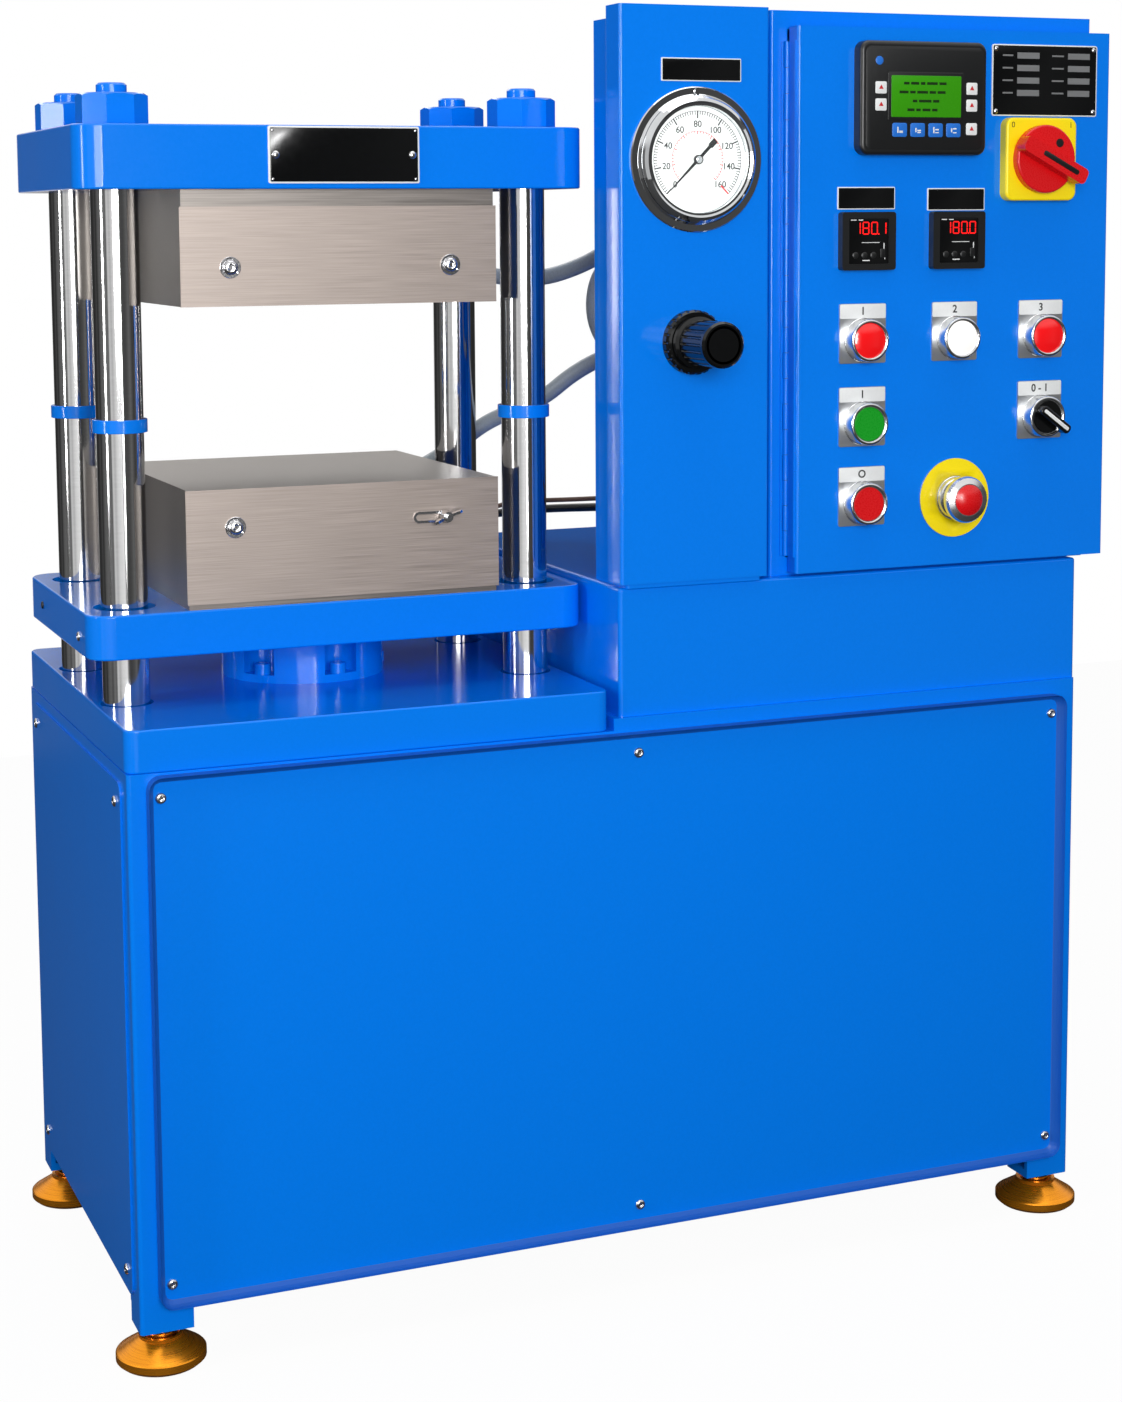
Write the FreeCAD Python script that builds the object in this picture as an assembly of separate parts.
"""Four-post heated-platen moulding press: every piece as a solid of its own.

Millimetres, +Z up. While it is built, the machine stands with the left face of its base on
X = 0, the front face of its base on Y = 0 and the floor at Z = 0; the last step moves the
whole of it so that the origin is the middle of its footprint, on the floor.
"""
import FreeCAD, Part
import math
import os

V = FreeCAD.Vector
X_AXIS, Y_AXIS, Z_AXIS = V(1, 0, 0), V(0, 1, 0), V(0, 0, 1)
FRONT = V(0, -1, 0)

# ---- driving dimensions: fits and gaps -------------------------------------------------
RUNNING_FIT = 0.05          # radial clearance of a shaft that turns or slides
SEAT_FIT = 0.02             # radial clearance of a part that is pressed or screwed in
BOLT_CLEARANCE = 0.3        # radial clearance of a bolt or stud in a plain hole
SOFT_GAP = 0.3              # gap between a cord and what it passes
PIN_GAP = 0.4               # axial gap between hinge knuckles

# ---- base cabinet -----------------------------------------------------------------------
BASE_W, BASE_D = 1002.0, 468.0
SEAT_Z = 560.0              # top of the angle frame, where the bed plate lies
DECK_T = 12.0               # thick deck plate beside the bed
LEG_BOTTOM_Z = 36.0
FRONT_RAIL_Z, SIDE_RAIL_Z = 55.0, 68.0
LEG_W, LEG_D, ANGLE_T = 50.0, 38.0, 5.0
RAIL_H, RAIL_FLANGE = 40.0, 40.0
FOOT_PLATE_T = 8.0
BASE_CORNER_R = 4.0
TRAY_T = 2.0
PANEL_T, PANEL_CORNER_R = 2.0, 12.0
PANEL_MARGIN_X, PANEL_TOP_MARGIN, PANEL_BOTTOM_MARGIN = 18.0, 3.0, 6.5
SIDE_PANEL_MARGIN, SIDE_PANEL_TOP_MARGIN, SIDE_PANEL_LAP = 22.0, 12.0, 4.0
PANEL_SCREW_INSET_X, PANEL_SCREW_INSET_Z, PANEL_SCREW_R = 12.0, 20.0, 2.8
DECK_OPENING_INSET = 60.0

# ---- levelling feet ---------------------------------------------------------------------
FOOT_INSET = 24.0               # from each side of the base to the axis of a foot
FOOT_R, FOOT_RIM_H, FOOT_TOP_R, FOOT_TOP_Z = 42.0, 11.0, 20.5, 27.0
FOOT_SOLE_R, FOOT_SOLE_H, FOOT_RING_T = 38.0, 2.5, 3.0
FOOT_SOCKET_Z = 18.0
STUD_BOSS_R, STUD_GROOVE, STUD_R, STUD_L = 14.5, 1.5, 8.0, 36.0

# ---- press frame ------------------------------------------------------------------------
BED_W, BED_T, BED_CORNER_R = 472.0, 40.0, 12.0
PRESS_X, PRESS_Y = 234.0, 234.0         # axis of the ram
ROD_SPAN_X, ROD_SPAN_Y = 406.0, 200.0   # between the axes of the tie rods
ROD_R, ROD_THREAD_R = 22.225, 14.2
COUNTERBORE_R, COUNTERBORE_DEPTH = 25.3, 8.0
ROD_THREAD_IN_BED = 30.0
CROWN_Z, CROWN_T = 1082.0, 59.0
CROWN_W, CROWN_D, CROWN_CORNER_R = 498.0, 316.0, 24.0
PLATE_EDGE_R = 2.0
NUT_SIDES, NUT_FLATS, NUT_H, NUT_CHAMFER_H, NUT_TURN_DEG = 8, 62.0, 29.5, 4.0, -110.0
ROD_END, ROD_END_CHAMFER = 9.5, 2.0
COLLAR_R, COLLAR_H, COLLAR_SPLIT, COLLAR_EDGE_R = 25.75, 12.5, 3.0, 0.8

# ---- hydraulic cylinder -----------------------------------------------------------------
BARREL_R, BARREL_BOTTOM_Z, BARREL_FLOOR, BARREL_BORE_R = 66.0, 352.0, 25.0, 52.0
HEAD_R, HEAD_H, HEAD_FOOT_H = 82.0, 40.0, 8.0
SCALLOP_COUNT, SCALLOP_R, SCALLOP_FIRST_DEG = 6, 17.5, -79.0
HEAD_BOLT_CIRCLE_R = 74.0
HEAD_BOLT_R, HEAD_BOLT_HEAD_R, HEAD_BOLT_HEAD_H, HEAD_BOLT_L = 5.0, 8.0, 10.0, 24.0
RAM_R, RAM_BOTTOM_Z, RAM_SPIGOT_R, RAM_SPIGOT_H, RAM_CHAMFER = 50.0, 386.0, 20.0, 18.0, 2.0
PIPE_R, PIPE_BEND_R = 6.0, 36.0

# ---- moving bolster and platens ----------------------------------------------------------
BOLSTER_Z, BOLSTER_T = 650.0, 42.0
BOLSTER_W, BOLSTER_D, BOLSTER_CORNER_R = 494.0, 308.0, 24.0
BUSH_R, BUSH_RECESS = 29.3, 6.0
STROKE = 165.0
PLATEN_W, PLATEN_D, PLATEN_T = 306.0, 302.0, 72.0
LOWER_SPACER_T, UPPER_SPACER_T = 40.0, 36.0
COVER_W, COVER_T = 310.0, 2.0
LOWER_COVER_GAP, UPPER_COVER_GAP = 5.0, 16.0   # left between a cover and the blue plate
POCKET_W, POCKET_H, POCKET_DEPTH = 28.0, 36.0, 20.0
HEATER_R, HEATER_PITCH, HEATER_COUNT, HEATER_TAIL = 8.0, 48.0, 4, 8.0
HEATER_END_WALL = 14.0
COVER_SCREW_X = 108.0           # from the press axis to a cover screw
COVER_SCREW_R, COVER_SCREW_DEPTH = 4.0, 14.0
STUD_X = 100.0                  # from the press axis to the wing-nut stud
WING_STUD_R, WING_STUD_OUT = 3.0, 15.0
WING_HUB_R, WING_HUB_TOP_R, WING_HUB_H = 6.5, 5.0, 8.0
WING_REACH, WING_T, WING_H, WING_TURN_DEG = 15.0, 2.6, 11.0, 22.0
CLIP_L, CLIP_H, CLIP_WIRE, CLIP_T = 38.0, 11.0, 2.4, 2.0

# ---- pedestal and power unit -------------------------------------------------------------
PEDESTAL_X0, PEDESTAL_X1, PEDESTAL_Y0, PEDESTAL_Y1 = 484.0, 1004.0, 5.0, 460.0
PEDESTAL_H, PEDESTAL_WALL, PEDESTAL_EDGE_R = 126.0, 3.0, 4.0
TANK_W, TANK_D, TANK_H, TANK_X, TANK_Y = 330.0, 250.0, 210.0, 560.0, 110.0
MOTOR_R, MOTOR_L, PUMP_R, PUMP_L = 62.0, 150.0, 34.0, 60.0

# ---- pneumatic cabinet -------------------------------------------------------------------
PNEU_X0, PNEU_X1, PNEU_Z0, PNEU_Z1 = 483.0, 641.0, 702.0, 1253.5
PNEU_FRONT_Y, PNEU_COVER_D, PNEU_BACK_Y = -2.0, 34.0, 78.0
PNEU_BODY_INSET, PNEU_BODY_DROP, CABINET_WALL, CABINET_LIP = 7.0, 10.5, 2.0, 15.0
CABINET_EDGE_R = 3.0
GAUGE_X, GAUGE_Z = 562.5, 1108.0
GAUGE_FLANGE_R, GAUGE_FLANGE_T = 69.0, 3.0
GAUGE_BEZEL_R, GAUGE_BEZEL_H, GAUGE_DIAL_R = 60.0, 12.0, 51.0
GAUGE_CASE_R, GAUGE_CASE_L = 50.0, 42.0
GAUGE_GLASS_T, GAUGE_GLASS_SET = 1.6, 1.0
POINTER_TIP, POINTER_TAIL, POINTER_T, POINTER_HUB_R = 41.0, 26.0, 1.0, 4.5
POINTER_W, TAIL_BLOCK_L, TAIL_BLOCK_W = 3.0, 8.0, 5.4
POINTER_REST_DEG = 225.0
REG_X, REG_Z = 558.0, 934.0
REG_NUT_R, REG_NUT_T, REG_BODY_R, REG_BODY_L = 31.0, 10.0, 22.0, 60.0
REG_STEM_R, REG_KNOB_R, REG_KNOB_FRONT_Y, REG_KNOB_GAP = 6.0, 22.0, -72.0, 1.6
REG_RIBS, REG_RIB_R, NUT_RIBS = 20, 1.6, 24

# ---- electrical cabinet ------------------------------------------------------------------
ELEC_X0, ELEC_X1, ELEC_Z1 = 653.0, 1021.0, 1253.0
ELEC_FRONT_Y, ELEC_D, ELEC_LIP = 19.0, 200.0, 18.0
DOOR_X0, DOOR_X1, DOOR_Z0, DOOR_Z1 = 672.0, 1031.0, 702.0, 1237.0
DOOR_FRONT_Y, DOOR_D, DOOR_LIP = -2.0, 20.5, 10.0
DOOR_EDGE_R = 3.0
KNUCKLE_R, HINGE_PIN_R, LEAF_T, KNUCKLE_COUNT = 2.8, 1.3, 1.5, 20
HINGE_Z0, HINGE_Z1, FIXED_LEAF_W, DOOR_LEAF_W = 718.0, 1223.0, 5.0, 15.0
COLUMN_X = (744.5, 849.5, 951.0)
ROW_Z = (931.5, 849.0, 769.5)
ESTOP_X = 851.5
LEGEND_W, LEGEND_BELOW, LEGEND_ABOVE, LEGEND_T, LEGEND_CORNER_R = 52.0, 23.0, 36.0, 1.5, 2.0
ESTOP_DISC_R = 40.0
HMI_X, HMI_Z, HMI_W, HMI_H, HMI_T = 805.2, 1168.3, 142.8, 111.0, 14.0
HMI_CORNER_R, HMI_EDGE_R = 10.0, 4.0
HMI_CASE_W, HMI_CASE_H, HMI_CASE_D = 130.0, 94.0, 34.0
CTRL_W, CTRL_H, CTRL_T, CTRL_CASE, CTRL_CASE_D, CTRL_Z = 60.0, 57.0, 9.0, 45.0, 62.0, 1029.0
CTRL_X = (747.0, 849.5)
CTRL_WINDOW_SET = 1.5
SWITCH_X, SWITCH_Z, SWITCH_PLATE, SWITCH_PLATE_T = 942.8, 1109.4, 83.0, 12.0
SWITCH_CORNER_R, SWITCH_EDGE_R = 9.0, 2.5
SWITCH_BODY, SWITCH_BODY_D, SWITCH_SHAFT_R = 56.0, 48.0, 7.0
HANDLE_R, HANDLE_T, HANDLE_BAR_W, HANDLE_BAR_H = 34.0, 9.0, 16.0, 15.0
HANDLE_FORE, HANDLE_AFT, HANDLE_REST_DEG = 43.0, 37.0, -27.0
BEZEL_R, BEZEL_T, BEZEL_FRONT_R, BEZEL_FLANGE_T = 22.0, 15.0, 19.8, 3.0
ESTOP_BEZEL_T, BEZEL_BARREL_R, BEZEL_BORE_FLOOR = 7.0, 16.5, 1.5
BEZEL_BARREL_D, BLOCK_W, BLOCK_H, BLOCK_D = 24.0, 30.0, 40.0, 32.0
PLUNGER_R, PLUNGER_FRONT, PLUNGER_BACK = 16.9, 15.5, 10.0
PLUNGER_STEM_R, PLUNGER_CAP_BACK = 12.0, 6.5
ESTOP_TRAVEL = 6.0
LENS_R, LENS_SET, LENS_DOME = 17.4, 4.0, 3.5
ESTOP_R, ESTOP_H, ESTOP_FACE, ESTOP_NECK_R = 23.5, 13.0, 28.0, 12.0
ESTOP_CAP_R, ESTOP_CAP_DOME = 15.4, 5.0
SELECTOR_FORE, SELECTOR_AFT, SELECTOR_BAR_W, SELECTOR_BAR_H = 25.0, 16.0, 10.0, 11.0
SELECTOR_REST_DEG = -36.0

# ---- gear inside the electrical cabinet ---------------------------------------------------
PLATE_STANDOFF = 7.0
PLATE_T = 3.0
PLATE_MARGIN = 28.0
RAIL_ROWS = (0.80, 0.50, 0.20)  # shares of the mounting plate's height
DIN_RAIL_H, DIN_RAIL_T = 35.0, 7.0
GEAR_SIZES = ((45.0, 85.0, 80.0), (45.0, 85.0, 80.0), (36.0, 82.0, 66.0), (70.0, 90.0, 62.0))
TERMINAL_W, TERMINAL_COUNT, TERMINAL_H, TERMINAL_D = 12.0, 16, 46.0, 40.0
GEAR_GAP = 8.0

# ---- conduits and cables -----------------------------------------------------------------
CONDUIT_R, CABLE_R, SIGNAL_R = 8.5, 4.5, 2.6
GLAND_WALL, CAP_WALL = 4.0, 2.5  # how much wider than its cord a gland and its cap are
GLAND_L, CABLE_GLAND_L = 24.0, 16.0
EXIT_Y = 372.0                  # the conduits leave the platens behind the rear right tie rod
UPPER_EXIT_Z, LOWER_EXIT_Z = 1012.0, 786.0
UPPER_IN = (190.0, 1046.0)      # Y and Z of each gland on the left wall of the cabinet
LOWER_IN = (150.0, 902.0)
CABLE_IN = (188.0, 753.0)
SIGNAL_IN = (160.0, 770.0)
CABLE_DOWN = (444.0, 416.0)     # X and Y of each gland in the bed plate
SIGNAL_DOWN = (462.0, 430.0)

# ---- worked-out places -------------------------------------------------------------------
DECK_Z = SEAT_Z + DECK_T
BED_Z1 = SEAT_Z + BED_T
CROWN_Z1 = CROWN_Z + CROWN_T
BOLSTER_Z1 = BOLSTER_Z + BOLSTER_T
LOWER_PLATEN_Z = BOLSTER_Z1 + LOWER_SPACER_T
MOULD_FACE_Z = LOWER_PLATEN_Z + PLATEN_T
UPPER_SPACER_Z = CROWN_Z - UPPER_SPACER_T
UPPER_FACE_Z = UPPER_SPACER_Z - PLATEN_T
COLLAR_Z = BOLSTER_Z1 + STROKE
PLATEN_FRONT_Y = PRESS_Y - PLATEN_D / 2
PEDESTAL_Z1 = DECK_Z + PEDESTAL_H
ELEC_BACK_Y = ELEC_FRONT_Y + ELEC_D
HINGE_X = DOOR_X0 - KNUCKLE_R
HINGE_Y = ELEC_FRONT_Y - KNUCKLE_R
ROD_CORNERS = [(PRESS_X + sx * ROD_SPAN_X / 2, PRESS_Y + sy * ROD_SPAN_Y / 2)
               for sx in (-1, 1) for sy in (-1, 1)]


# ---- small helpers -----------------------------------------------------------------------
def box(x0, x1, y0, y1, z0, z1):
    """A block between two corners."""
    return Part.makeBox(x1 - x0, y1 - y0, z1 - z0, V(x0, y0, z0))


def block(cx, cy, cz, wx, wy, wz):
    """A block given by its centre and its sizes."""
    return box(cx - wx / 2, cx + wx / 2, cy - wy / 2, cy + wy / 2, cz - wz / 2, cz + wz / 2)


def rod(radius, start, length, axis=Z_AXIS):
    """A round bar that starts at a point and runs along an axis."""
    return Part.makeCylinder(radius, length, V(*start), axis)


def fuse(shapes):
    """One solid of pieces that are one piece on the real machine."""
    first, rest = shapes[0], shapes[1:]
    return first.fuse(rest).removeSplitter() if rest else first


def cut(shape, tools):
    """A shape with holes or pockets taken out."""
    return shape.cut(tools) if tools else shape


def group(shapes):
    """Separate solids that share a node."""
    return Part.makeCompound(shapes)


def is_line_along(edge, axis):
    """True for a straight edge that runs along an axis."""
    if edge.Curve.TypeId != "Part::GeomLine":
        return False
    return abs(abs(edge.Curve.Direction.dot(axis)) - 1) < 1e-6


def is_circle(edge):
    """True for a full circular edge, and not for the seam of a round face."""
    return edge.Closed and edge.Curve.TypeId == "Part::GeomCircle"


def round_upright(shape, radius):
    """The shape with its upright corner edges rounded."""
    return shape.makeFillet(radius, [e for e in shape.Edges if is_line_along(e, Z_AXIS)])


def round_rim(shape, radius, z_levels):
    """The shape with its level edges at some heights rounded."""
    rim = [e for e in shape.Edges
           if any(abs(e.BoundBox.ZMin - z) < 1e-4 and abs(e.BoundBox.ZMax - z) < 1e-4 for z in z_levels)]
    return shape.makeFillet(radius, rim)


def turned(points, start, axis=FRONT):
    """A solid of revolution: points are (radius, distance along the axis)."""
    wire = Part.makePolygon([V(r, 0, h) for r, h in points] + [V(points[0][0], 0, points[0][1])])
    solid = Part.Face(wire).revolve(V(0, 0, 0), Z_AXIS, 360)
    solid.Placement = FreeCAD.Placement(V(*start), FreeCAD.Rotation(Z_AXIS, axis))
    return solid


def polygon_nut(sides, flats, height, chamfer_h, turn_deg, centre):
    """A nut blank with its upper corners turned down; turn_deg is where one corner points."""
    corner_r = flats / 2 / math.cos(math.pi / sides)
    step = 2 * math.pi / sides
    corners = [V(corner_r * math.cos(step * i), corner_r * math.sin(step * i), 0) for i in range(sides + 1)]
    blank = Part.Face(Part.makePolygon(corners)).extrude(V(0, 0, height))
    cone = turned([(0, 0), (corner_r, 0), (corner_r, height - chamfer_h * 0.6),
                   (corner_r - chamfer_h, height), (0, height)], (0, 0, 0), Z_AXIS)
    nut = blank.common(cone)
    nut.rotate(V(0, 0, 0), Z_AXIS, turn_deg)
    nut.translate(V(*centre))
    return nut


def pan(x0, x1, y_front, depth, z0, z1, wall, lip, edge_r):
    """A sheet-metal door or cover: a front sheet, four sides and a lip along their back edges."""
    outer = round_upright(box(x0, x1, y_front, y_front + depth, z0, z1), edge_r)
    inner = box(x0 + wall, x1 - wall, y_front + wall, y_front + depth - wall, z0 + wall, z1 - wall)
    mouth = box(x0 + lip, x1 - lip, y_front + wall, y_front + depth, z0 + lip, z1 - lip)
    return outer.cut([inner, mouth])


def polar(radius, degrees):
    """X and Z of a point on a circle in the plane of the door."""
    return radius * math.cos(math.radians(degrees)), radius * math.sin(math.radians(degrees))


# ---- base --------------------------------------------------------------------------------
def corner_signs():
    """The four corners of a footprint, as shares of its width and depth."""
    return [(0, 0), (1, 0), (0, 1), (1, 1)]


def angle_rail(x0, x1, y0, y1, z, up, outer):
    """An angle-iron rail: an upright flange on its outer side and a level one at its foot or top."""
    flange_z = (z, z + ANGLE_T) if up else (z + RAIL_H - ANGLE_T, z + RAIL_H)
    level = box(x0, x1, y0, y1, *flange_z)
    walls = {"front": (x0, x1, y0, y0 + ANGLE_T), "back": (x0, x1, y1 - ANGLE_T, y1),
             "left": (x0, x0 + ANGLE_T, y0, y1), "right": (x1 - ANGLE_T, x1, y0, y1)}
    return [level, box(*walls[outer], z, z + RAIL_H)]


def foot_axes():
    """X and Y of the four levelling feet."""
    return [(FOOT_INSET if sx == 0 else BASE_W - FOOT_INSET, FOOT_INSET if sy == 0 else BASE_D - FOOT_INSET)
            for sx, sy in corner_signs()]


def screw_rows(low, high, inset, count):
    """Evenly spaced places from one edge inset to the other."""
    first, last = low + inset, high - inset
    return [first + (last - first) * i / (count - 1) for i in range(count)]


def long_panel_screws():
    """X and Z of the screws of the front and the rear panel."""
    z0, z1 = front_panel_limits()[2:]
    xs = screw_rows(*front_panel_limits()[:2], PANEL_SCREW_INSET_X, 3)
    return [(x, z) for x in xs for z in screw_rows(z0, z1, PANEL_SCREW_INSET_Z, 2)]


def side_panel_screws():
    """Y and Z of the screws of a side panel."""
    y0, y1, z0, z1 = side_panel_limits()
    return [(y, z) for y in screw_rows(y0, y1, PANEL_SCREW_INSET_Z, 2)
            for z in screw_rows(z0, z1, PANEL_SCREW_INSET_Z, 2)]


def front_panel_limits():
    """X and Z limits of the front and the rear panel."""
    return (PANEL_MARGIN_X, BASE_W - PANEL_MARGIN_X,
            FRONT_RAIL_Z + PANEL_BOTTOM_MARGIN, SEAT_Z - PANEL_TOP_MARGIN)


def side_panel_limits():
    """Y and Z limits of a side panel."""
    return (SIDE_PANEL_MARGIN, BASE_D - SIDE_PANEL_MARGIN,
            SIDE_RAIL_Z - SIDE_PANEL_LAP, SEAT_Z - SIDE_PANEL_TOP_MARGIN)


def base_frame():
    """The welded angle-iron frame with its deck plate, drip tray and foot plates."""
    pieces = []
    for sx, sy in corner_signs():
        x = 0 if sx == 0 else BASE_W - LEG_W
        y = 0 if sy == 0 else BASE_D - LEG_D
        outer_x = 0 if sx == 0 else BASE_W - ANGLE_T
        outer_y = 0 if sy == 0 else BASE_D - ANGLE_T
        pieces.append(box(x, x + LEG_W, outer_y, outer_y + ANGLE_T, LEG_BOTTOM_Z, SEAT_Z))
        pieces.append(box(outer_x, outer_x + ANGLE_T, y, y + LEG_D, LEG_BOTTOM_Z, SEAT_Z))
        pieces.append(box(x, x + LEG_W, y, y + LEG_D, LEG_BOTTOM_Z, LEG_BOTTOM_Z + FOOT_PLATE_T))
    top_z = SEAT_Z - RAIL_H
    for y0, side in ((0, "front"), (BASE_D - RAIL_FLANGE, "back")):
        pieces += angle_rail(0, BASE_W, y0, y0 + RAIL_FLANGE, FRONT_RAIL_Z, True, side)
        pieces += angle_rail(0, BASE_W, y0, y0 + RAIL_FLANGE, top_z, False, side)
    for x0, side in ((0, "left"), (BASE_W - RAIL_FLANGE, "right")):
        pieces += angle_rail(x0, x0 + RAIL_FLANGE, 0, BASE_D, SIDE_RAIL_Z, True, side)
        pieces += angle_rail(x0, x0 + RAIL_FLANGE, 0, BASE_D, top_z, False, side)
    bearer_x1 = BED_W + RAIL_FLANGE / 2
    pieces += angle_rail(bearer_x1 - RAIL_FLANGE, bearer_x1, 0, BASE_D, top_z, False, "right")
    tray_z = FRONT_RAIL_Z + ANGLE_T
    pieces.append(box(0, BASE_W, 0, BASE_D, tray_z, tray_z + TRAY_T))
    deck = box(BED_W + BASE_CORNER_R, BASE_W, 0, BASE_D, SEAT_Z, DECK_Z)
    inset = DECK_OPENING_INSET
    deck = deck.cut(box(PEDESTAL_X0 + inset, PEDESTAL_X1 - inset, PEDESTAL_Y0 + inset,
                        PEDESTAL_Y1 - inset, SEAT_Z - 1, DECK_Z + 1))
    pieces.append(deck)
    frame = fuse(pieces)
    rounding = round_upright(box(0, BASE_W, 0, BASE_D, 0, DECK_Z), BASE_CORNER_R)
    frame = frame.common(rounding)
    holes = [rod(STUD_R + BOLT_CLEARANCE, (x, y, LEG_BOTTOM_Z - 1), STUD_L + 2) for x, y in foot_axes()]
    for x, z in long_panel_screws():
        holes += [rod(PANEL_SCREW_R, (x, y - 1, z), ANGLE_T + 2, Y_AXIS) for y in (0, BASE_D - ANGLE_T)]
    for y, z in side_panel_screws():
        holes += [rod(PANEL_SCREW_R, (x - 1, y, z), ANGLE_T + 2, X_AXIS) for x in (0, BASE_W - ANGLE_T)]
    return frame.cut(holes)


def flat_panel(u0, u1, v0, v1, screws):
    """A cover sheet in the XZ plane with large round corners, its back on Y = 0."""
    sheet = box(u0, u1, -PANEL_T, 0, v0, v1)
    sheet = sheet.makeFillet(PANEL_CORNER_R, [e for e in sheet.Edges if is_line_along(e, Y_AXIS)])
    holes = [rod(PANEL_SCREW_R, (u, -PANEL_T - 1, v), PANEL_T + 2, Y_AXIS) for u, v in screws]
    return sheet.cut(holes)


def base_panels():
    """The screwed-on sheets on the four sides of the base."""
    front = flat_panel(*front_panel_limits(), long_panel_screws())
    rear = front.copy()
    rear.translate(V(0, BASE_D + PANEL_T, 0))
    side = flat_panel(*side_panel_limits(), side_panel_screws())
    side.rotate(V(0, 0, 0), Z_AXIS, 90)
    left = side.copy()
    left.translate(V(-PANEL_T, 0, 0))
    right = side.copy()
    right.translate(V(BASE_W, 0, 0))
    return {"front_panel": front, "rear_panel": rear, "side_panels": group([left, right])}


def feet():
    """Levelling feet: a turned cone on its rubber sole, and the stud that screws into the frame."""
    cones, studs = [], []
    socket_r = STUD_BOSS_R + SOFT_GAP
    ring_r = FOOT_TOP_R - FOOT_RING_T
    for x, y in foot_axes():
        cones.append(turned([(0, 0), (FOOT_SOLE_R, 0), (FOOT_SOLE_R, FOOT_SOLE_H), (FOOT_R - 1, FOOT_SOLE_H),
                             (FOOT_R, FOOT_SOLE_H + 1), (FOOT_R, FOOT_RIM_H - 1), (FOOT_R - 1, FOOT_RIM_H),
                             (FOOT_TOP_R, FOOT_TOP_Z - FOOT_RING_T), (FOOT_TOP_R, FOOT_TOP_Z),
                             (ring_r, FOOT_TOP_Z), (socket_r, FOOT_TOP_Z - FOOT_RING_T),
                             (socket_r, FOOT_SOCKET_Z), (0, FOOT_SOCKET_Z)], (x, y, 0), Z_AXIS))
        waist_z = (FOOT_TOP_Z + LEG_BOTTOM_Z) / 2
        studs.append(turned([(0, FOOT_SOCKET_Z), (STUD_BOSS_R, FOOT_SOCKET_Z),
                             (STUD_BOSS_R, waist_z - STUD_GROOVE), (STUD_BOSS_R - STUD_GROOVE, waist_z),
                             (STUD_BOSS_R, waist_z + STUD_GROOVE), (STUD_BOSS_R, LEG_BOTTOM_Z),
                             (STUD_R, LEG_BOTTOM_Z), (STUD_R, LEG_BOTTOM_Z + STUD_L),
                             (0, LEG_BOTTOM_Z + STUD_L)], (x, y, 0), Z_AXIS))
    return {"foot_cones": group(cones), "foot_studs": group(studs)}


# ---- press frame -------------------------------------------------------------------------
def rounded_plate(cx, cy, width, depth, z0, thickness, corner_r):
    """A thick plate with round corners and softly broken edges."""
    plate = box(cx - width / 2, cx + width / 2, cy - depth / 2, cy + depth / 2, z0, z0 + thickness)
    plate = round_upright(plate, corner_r)
    return round_rim(plate, PLATE_EDGE_R, (z0, z0 + thickness))


def bed_plate():
    """The thick bed plate with counterbored rod holes and the bore for the cylinder."""
    plate = rounded_plate(BED_W / 2, BASE_D / 2, BED_W, BASE_D, SEAT_Z, BED_T, BED_CORNER_R)
    holes = [rod(BARREL_R + BOLT_CLEARANCE, (PRESS_X, PRESS_Y, SEAT_Z - 1), BED_T + 2)]
    for x, y in ROD_CORNERS:
        holes.append(rod(COUNTERBORE_R, (x, y, BED_Z1 - COUNTERBORE_DEPTH), COUNTERBORE_DEPTH + 1))
        holes.append(rod(ROD_THREAD_R + SEAT_FIT, (x, y, SEAT_Z - 1), BED_T))
    holes += [rod(HEAD_BOLT_R + SEAT_FIT, (x, y, BED_Z1 - HEAD_BOLT_L), HEAD_BOLT_L + 1)
              for x, y in head_bolt_axes()]
    return plate.cut(holes)


def tie_rods():
    """The four polished rods, shouldered on the bed and under the crown."""
    shoulder_z = BED_Z1 - COUNTERBORE_DEPTH
    rods = []
    for x, y in ROD_CORNERS:
        low_z = shoulder_z - ROD_THREAD_IN_BED
        top_z = CROWN_Z1 + NUT_H + ROD_END
        rods.append(turned([(0, low_z), (ROD_THREAD_R, low_z), (ROD_THREAD_R, shoulder_z),
                            (ROD_R, shoulder_z), (ROD_R, CROWN_Z), (ROD_THREAD_R, CROWN_Z),
                            (ROD_THREAD_R, top_z - ROD_END_CHAMFER), (ROD_THREAD_R - ROD_END_CHAMFER, top_z),
                            (0, top_z)], (x, y, 0), Z_AXIS))
    return group(rods)


def crown_plate():
    """The fixed top plate."""
    plate = rounded_plate(PRESS_X, PRESS_Y, CROWN_W, CROWN_D, CROWN_Z, CROWN_T, CROWN_CORNER_R)
    return plate.cut([rod(ROD_THREAD_R + BOLT_CLEARANCE, (x, y, CROWN_Z - 1), CROWN_T + 2)
                      for x, y in ROD_CORNERS])


def tie_rod_nuts():
    """The four heavy eight-sided nuts on the crown."""
    nuts = []
    for x, y in ROD_CORNERS:
        nut = polygon_nut(NUT_SIDES, NUT_FLATS, NUT_H, NUT_CHAMFER_H, NUT_TURN_DEG, (x, y, CROWN_Z1))
        nuts.append(nut.cut(rod(ROD_THREAD_R + SEAT_FIT, (x, y, CROWN_Z1 - 1), NUT_H + 2)))
    return group(nuts)


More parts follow.
